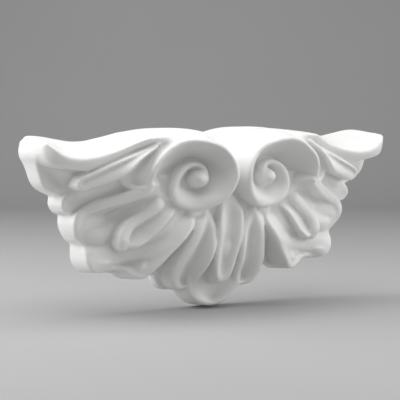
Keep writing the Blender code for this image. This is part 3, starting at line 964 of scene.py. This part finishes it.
@dataclass
class Casting:
    """The corbel, in metres: its carvings fused into one body, cut flat behind, and dressed."""

    finish: WhitePrimer
    carvings: list[Carving]
    node: str = "corbel"
    name: str = "corbel_casting"
    grain: float = 0.0012
    softening: int = 5
    softening_share: float = 0.5
    relief: float = 0.00012
    relief_scale: float = 90.0
    relief_detail: float = 1.0
    relief_start: float = 0.005
    most_triangles: int = 190_000
    sharp_angle: float = radians(60)
    hollow_passes: int = 40
    hollow_depth: float = 0.0009

    def _drawn(self, name: str, symmetry: Symmetry) -> bpy.types.Object:
        """The carvings of one kind as loose closed bodies.

        Args:
            name: The object's name.
            symmetry: Which carvings it holds.

        Returns:
            The object.
        """
        mesh = bmesh.new()
        for carving in self.carvings:
            if carving.symmetry is symmetry:
                carving.add_to(mesh)
                LOG.info("carved the %s", carving.name)
        bmesh.ops.recalc_face_normals(mesh, faces=mesh.faces)
        return placed(name, plain_mesh(name, mesh))

    def _tree(self, name: str, inputs: dict[str, str]) -> tuple[Any, Bench, Made]:
        """A new geometry tree.

        Args:
            name: The tree's name.
            inputs: The kind of each named input, after the geometry.

        Returns:
            The tree, its bench and its input node.
        """
        tree = bpy.data.node_groups.new(name, "GeometryNodeTree")
        for label, kind in {"Geometry": "NodeSocketGeometry", **inputs}.items():
            tree.interface.new_socket(label, in_out="INPUT", socket_type=kind)
        tree.interface.new_socket("Geometry", in_out="OUTPUT", socket_type="NodeSocketGeometry")
        bench = Bench(tree)
        return tree, bench, bench.node("NodeGroupInput")

    def _end(self, bench: Bench, shape: Wire, material: bpy.types.Material) -> None:
        """Ends a geometry tree with its instances made real and the finish set.

        Args:
            bench: The tree's bench.
            shape: What the tree makes.
            material: The casting's finish.
        """
        real = bench.node("GeometryNodeRealizeInstances", {}, {0: shape}).out("Geometry")
        set_to = {"Geometry": real, "Material": material}
        dressed = bench.node("GeometryNodeSetMaterial", {}, set_to).out("Geometry")
        bench.node("NodeGroupOutput", {}, {0: dressed})

    def _mirror_tree(self, material: bpy.types.Material) -> Any:
        """A tree that sets the half beside its mirror image and adds the middle.

        Args:
            material: The casting's finish.

        Returns:
            The geometry node tree.
        """
        tree, bench, given = self._tree(
            "both halves", {"Middle": "NodeSocketObject", "Mirrored": "NodeSocketVector"}
        )
        drawn = given.out("Geometry")
        half = bench.node("GeometryNodeGeometryToInstance", {}, {0: drawn}).out("Instances")
        moved = {"Geometry": half, "Scale": given.out("Mirrored")}
        other = bench.node("GeometryNodeTransform", {}, moved).out("Geometry")
        other = bench.node("GeometryNodeRealizeInstances", {}, {0: other}).out("Geometry")
        turned = bench.node("GeometryNodeFlipFaces", {}, {"Mesh": other}).out("Mesh")
        asked = {"Object": given.out("Middle")}
        middle = bench.node("GeometryNodeObjectInfo", {}, asked).out("Geometry")
        join = bench.node("GeometryNodeJoinGeometry")
        for piece in (half, turned, middle):
            bench.feed(piece, join.node.inputs[0])
        self._end(bench, join.out("Geometry"), material)
        return tree

    def _skin_tree(self, material: bpy.types.Material) -> Any:
        """A tree that gives the front the slightly uneven skin of a hand-finished casting.

        Args:
            material: The casting's finish.

        Returns:
            The geometry node tree.
        """
        tree, bench, given = self._tree(
            "cast skin", {"Relief": "NodeSocketFloat", "Scale": "NodeSocketFloat"}
        )
        place = bench.node("GeometryNodeInputPosition").out("Position")
        noise = bench.noise(place, given.out("Scale"), Detail=self.relief_detail)
        y = bench.node("ShaderNodeSeparateXYZ", {}, {0: place}).out("Y")
        front = (y * (-1 / self.relief_start)).clamped()
        amount = (noise - 0.5) * given.out("Relief") * front * 2.0
        push = {0: bench.node("GeometryNodeInputNormal").out("Normal"), "Scale": amount}
        offset = bench.node("ShaderNodeVectorMath", {"operation": "SCALE"}, push).out("Vector")
        moved = {"Geometry": given.out("Geometry"), "Offset": offset}
        self._end(bench, bench.node("GeometryNodeSetPosition", {}, moved).out("Geometry"), material)
        return tree

    def _grow(self, piece: bpy.types.Object, tree: Any, values: dict[str, Any]) -> None:
        """Adds a geometry tree to a piece as a modifier.

        Args:
            piece: The object.
            tree: The geometry node tree.
            values: A value for each of the tree's named inputs.
        """
        modifier = piece.modifiers.new(tree.name, "NODES")
        modifier.node_group = tree
        for socket in tree.interface.items_tree:
            if socket.in_out == "INPUT" and socket.name in values:
                modifier[socket.identifier] = values[socket.name]

    def _applied(self, piece: bpy.types.Object, name: str) -> bpy.types.Object:
        """A plain mesh of what a piece's modifiers make, which takes the piece's place.

        Args:
            piece: The object with its modifiers.
            name: The new object's name.

        Returns:
            The new object, with no modifiers.
        """
        graph = bpy.context.evaluated_depsgraph_get()
        data = bpy.data.meshes.new_from_object(
            piece.evaluated_get(graph), preserve_all_data_layers=True, depsgraph=graph
        )
        bpy.data.objects.remove(piece)
        return placed(name, data)

    def _wall_cutter(self) -> bpy.types.Object:
        """A box behind the wall plane, which cuts the back flat.

        Returns:
            The box, which reaches past the casting on every side.
        """
        low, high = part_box(self.node)
        reach = max(high - low)
        mesh = bmesh.new()
        bmesh.ops.create_cube(mesh, size=2 * reach, matrix=Matrix.Translation((0, reach, 0)))
        return placed("wall", plain_mesh("wall", mesh))

    def _fused(self, body: bpy.types.Object) -> bpy.types.Object:
        """The loose bodies fused, softened, thinned and cut flat behind.

        Args:
            body: The object with every carving.

        Returns:
            The fused object.
        """
        fuse = body.modifiers.new("fuse", "REMESH")
        fuse.mode = "VOXEL"
        fuse.voxel_size = self.grain
        soften = body.modifiers.new("soften", "SMOOTH")
        soften.factor = self.softening_share
        soften.iterations = self.softening
        rough = self._applied(body, "rough casting")
        triangles = 2 * len(rough.data.polygons)
        thin = rough.modifiers.new("thin", "DECIMATE")
        thin.ratio = min(1.0, self.most_triangles / triangles)
        cutter = self._wall_cutter()
        cut = rough.modifiers.new("cut flat", "BOOLEAN")
        cut.operation = "DIFFERENCE"
        cut.solver = "EXACT"
        cut.object = cutter
        fused = self._applied(rough, "fused casting")
        bpy.data.objects.remove(cutter)
        self._unfold(fused.data)
        return fused

    def _unfold(self, mesh: bpy.types.Mesh) -> None:
        """Makes the mesh plain triangles, less the folded pairs that the cut leaves at its edge.

        Args:
            mesh: The mesh that is cleared of them.
        """
        mesh.calc_loop_triangles()
        corners = np.empty(3 * len(mesh.loop_triangles), np.int32)
        mesh.loop_triangles.foreach_get("vertices", corners)
        corners = corners.reshape(-1, 3)
        _, same, times = np.unique(
            np.sort(corners, axis=1), axis=0, return_inverse=True, return_counts=True
        )
        used, corners = np.unique(corners[times[same.ravel()] == 1], return_inverse=True)
        points = np.empty(3 * len(mesh.vertices), np.float32)
        mesh.vertices.foreach_get("co", points)
        mesh.clear_geometry()
        mesh.from_pydata(points.reshape(-1, 3)[used].tolist(), [], corners.reshape(-1, 3).tolist())
        mesh.update()

    def _fit(self, mesh: bpy.types.Mesh) -> None:
        """Brings the casting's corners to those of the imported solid, with its back on the wall.

        Args:
            mesh: The mesh that is fitted.
        """
        low, high = (np.array(corner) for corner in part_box(self.node))
        points = np.empty(3 * len(mesh.vertices))
        mesh.vertices.foreach_get("co", points)
        points = points.reshape(-1, 3)
        own_low, own_high = points.min(axis=0), points.max(axis=0)
        points = low + (points - own_low) * (high - low) / (own_high - own_low)
        mesh.vertices.foreach_set("co", points.astype(np.float32).ravel())
        mesh.update()

    def _mark_hollows(self, mesh: bpy.types.Mesh) -> None:
        """Stores how hollow each vertex lies: 0 on a ridge, 0.5 on a level face, 1 in a crease.

        Args:
            mesh: The mesh that takes the attribute.
        """
        count = len(mesh.vertices)
        points, normals = np.empty(3 * count), np.empty(3 * count)
        mesh.vertices.foreach_get("co", points)
        mesh.vertices.foreach_get("normal", normals)
        points, normals = points.reshape(-1, 3), normals.reshape(-1, 3)
        edges = np.empty(2 * len(mesh.edges), int)
        mesh.edges.foreach_get("vertices", edges)
        first, second = edges.reshape(-1, 2).T
        neighbours = np.bincount(first, minlength=count) + np.bincount(second, minlength=count)
        shares = np.maximum(neighbours, 1)
        smooth = points.copy()
        for _ in range(self.hollow_passes):
            for axis in range(3):
                column = smooth[:, axis]
                around = np.bincount(first, column[second], count)
                around += np.bincount(second, column[first], count)
                smooth[:, axis] = (column + around / shares) / 2
        depth = ((smooth - points) * normals).sum(axis=1)
        hollow = np.clip(0.5 + depth / (2 * self.hollow_depth), 0, 1)
        # the finish paints shade into the hollows and highlight onto the ridges from this value
        attribute = mesh.attributes.new("hollow", "FLOAT", "POINT")
        attribute.data.foreach_set("value", hollow.astype(np.float32))

    def build(self) -> bpy.types.Object:
        """Builds and dresses the casting.

        Returns:
            The finished piece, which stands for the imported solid.
        """
        material = self.finish.material()
        half = self._drawn("right half", Symmetry.PAIRED)
        middle = self._drawn("middle", Symmetry.CENTRAL)
        halves = {"Middle": middle, "Mirrored": (-1.0, 1.0, 1.0)}
        self._grow(half, self._mirror_tree(material), halves)
        both = self._applied(half, "both halves")
        bpy.data.objects.remove(middle)
        body = self._fused(both)
        skin = {"Relief": self.relief, "Scale": self.relief_scale}
        self._grow(body, self._skin_tree(material), skin)
        piece = self._applied(body, self.name)
        piece.data.name = self.name
        self._fit(piece.data)
        piece.data.materials.clear()
        piece.data.materials.append(material)
        piece.data.polygons.foreach_set("material_index", [0] * len(piece.data.polygons))
        piece.data.polygons.foreach_set("use_smooth", [True] * len(piece.data.polygons))
        piece.data.set_sharp_from_angle(angle=self.sharp_angle)
        self._mark_hollows(piece.data)
        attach(piece, "root")
        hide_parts(self.node)
        LOG.info("%s: %d faces", piece.name, len(piece.data.polygons))
        return piece


@dataclass(frozen=True)
class Softbox:
    """A large soft light: the way to it from the object, its power, its size and its distance."""

    name: str
    towards: Vector
    power: float
    size: float = 0.9
    distance: float = 1.2

    def place(self) -> bpy.types.Object:
        """Sets up the light.

        Returns:
            The light, turned to the object.
        """
        light = bpy.data.lights.new(self.name, "AREA")
        light.size = self.size
        light.energy = self.power
        stand = placed(self.name, light)
        aim(stand, self.towards.normalized(), self.distance)
        return stand


@dataclass(frozen=True)
class Studio:
    """The pale floor, the soft lights and the camera."""

    camera_azimuth: float = radians(-28.65)
    camera_elevation: float = radians(4.8)
    camera_distance: float = 1.4
    nearest: float = 0.01
    lens: float = 126
    sensor: float = 36
    floor_gap: float = 0.0005
    floor_reach: float = 1.6
    floor_side: float = 2.5
    sweep_radius: float = 0.5
    sweep_steps: int = 12
    floor_tone: Colour = (0.4, 0.4, 0.4, 1.0)
    mottle_tone: float = 0.97
    mottle_scale: float = 6.0
    floor_roughness: float = 0.9
    world_tone: Colour = (0.1, 0.1, 0.1, 1.0)

    def _floor_material(self) -> bpy.types.Material:
        """Plain matt card, with a faint mottle.

        Returns:
            The material.
        """
        material = bpy.data.materials.new("pale card")
        material.use_nodes = True
        bench = Bench(material.node_tree)
        shader = material.node_tree.nodes["Principled BSDF"]
        place = bench.node("ShaderNodeTexCoord").out("Object")
        darker = tuple(channel * self.mottle_tone for channel in self.floor_tone[:3]) + (1.0,)
        mottle = bench.mixed(bench.noise(place, self.mottle_scale), self.floor_tone, darker)
        bench.feed(mottle, shader.inputs["Base Color"])
        shader.inputs["Roughness"].default_value = self.floor_roughness
        return material

    def floor(self) -> bpy.types.Object:
        """The floor, which sweeps up behind the object.

        Returns:
            The floor, marked as stage.
        """
        level = Vector((0, 0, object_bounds()[0][2] - self.floor_gap))
        bend = self.floor_reach - self.sweep_radius
        rows = [(-self.floor_reach, 0.0), (bend, 0.0)]
        for step in range(1, self.sweep_steps + 1):
            angle = step / self.sweep_steps * QUARTER_TURN
            rise = self.sweep_radius * (1 - cos(angle))
            rows.append((bend + self.sweep_radius * sin(angle), rise))
        rows.append((self.floor_reach, self.floor_reach))
        turned = Matrix.Rotation(-self.camera_azimuth, 3, "Z").inverted()
        mesh = bmesh.new()
        sides = (-self.floor_side, self.floor_side)
        lines = [
            [mesh.verts.new(turned @ Vector((x, y, z)) + level) for x in sides] for y, z in rows
        ]
        for near, far in zip(lines, lines[1:]):
            mesh.faces.new((near[0], near[1], far[1], far[0]))
        data = plain_mesh("floor", mesh)
        data.polygons.foreach_set("use_smooth", [True] * len(data.polygons))
        data.materials.append(self._floor_material())
        floor = placed("floor", data)
        floor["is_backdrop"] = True
        return floor

    def camera(self) -> bpy.types.Object:
        """The camera, at the photograph's angle.

        Returns:
            The camera, which the scene then uses.
        """
        camera = bpy.data.cameras.new("camera")
        camera.lens = self.lens
        camera.sensor_width = self.sensor
        camera.clip_start = self.nearest
        stand = placed("camera", camera)
        way = Vector((
            sin(self.camera_azimuth) * cos(self.camera_elevation),
            -cos(self.camera_azimuth) * cos(self.camera_elevation),
            sin(self.camera_elevation),
        ))
        aim(stand, way, self.camera_distance)
        bpy.context.scene.camera = stand
        return stand

    def light(self) -> None:
        """The softboxes overhead and to both sides of the camera, and a little light all round."""
        right = Vector((cos(self.camera_azimuth), sin(self.camera_azimuth), 0))
        forward = Vector((right.y, -right.x, 0))  # from the object towards the camera
        up = Vector((0, 0, 1))
        for softbox in (
            Softbox("overhead", Vector((-0.05, -0.25, 1)), power=16, size=1.4),
            Softbox("left of camera", -right + 0.2 * up, power=9.5),
            Softbox("high left", -right + 0.9 * up, power=6),
            Softbox("right of camera", right + 0.2 * up, power=6.5),
            Softbox("front right", forward + right + 0.2 * up, power=2),
        ):
            softbox.place()
        world = bpy.data.worlds.new("studio")
        world.use_nodes = True
        background = world.node_tree.nodes["Background"]
        background.inputs["Color"].default_value = self.world_tone
        bpy.context.scene.world = world
        bpy.context.scene.view_settings.view_transform = "Standard"


def corners() -> list[list[float]]:
    """The whole object's lowest and highest corners as plain lists."""
    return [[float(value) for value in corner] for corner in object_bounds()]


def main() -> None:
    """Builds the studio and the corbel."""
    logging.basicConfig(level=logging.INFO, format="%(name)s: %(message)s")
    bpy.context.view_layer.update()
    studio = Studio()
    studio.camera()
    studio.light()
    studio.floor()
    piece = Casting(finish=WhitePrimer(), carvings=carvings()).build()
    LOG.info("finished %s on body root", piece.name)


if __name__ == "__main__":
    main()
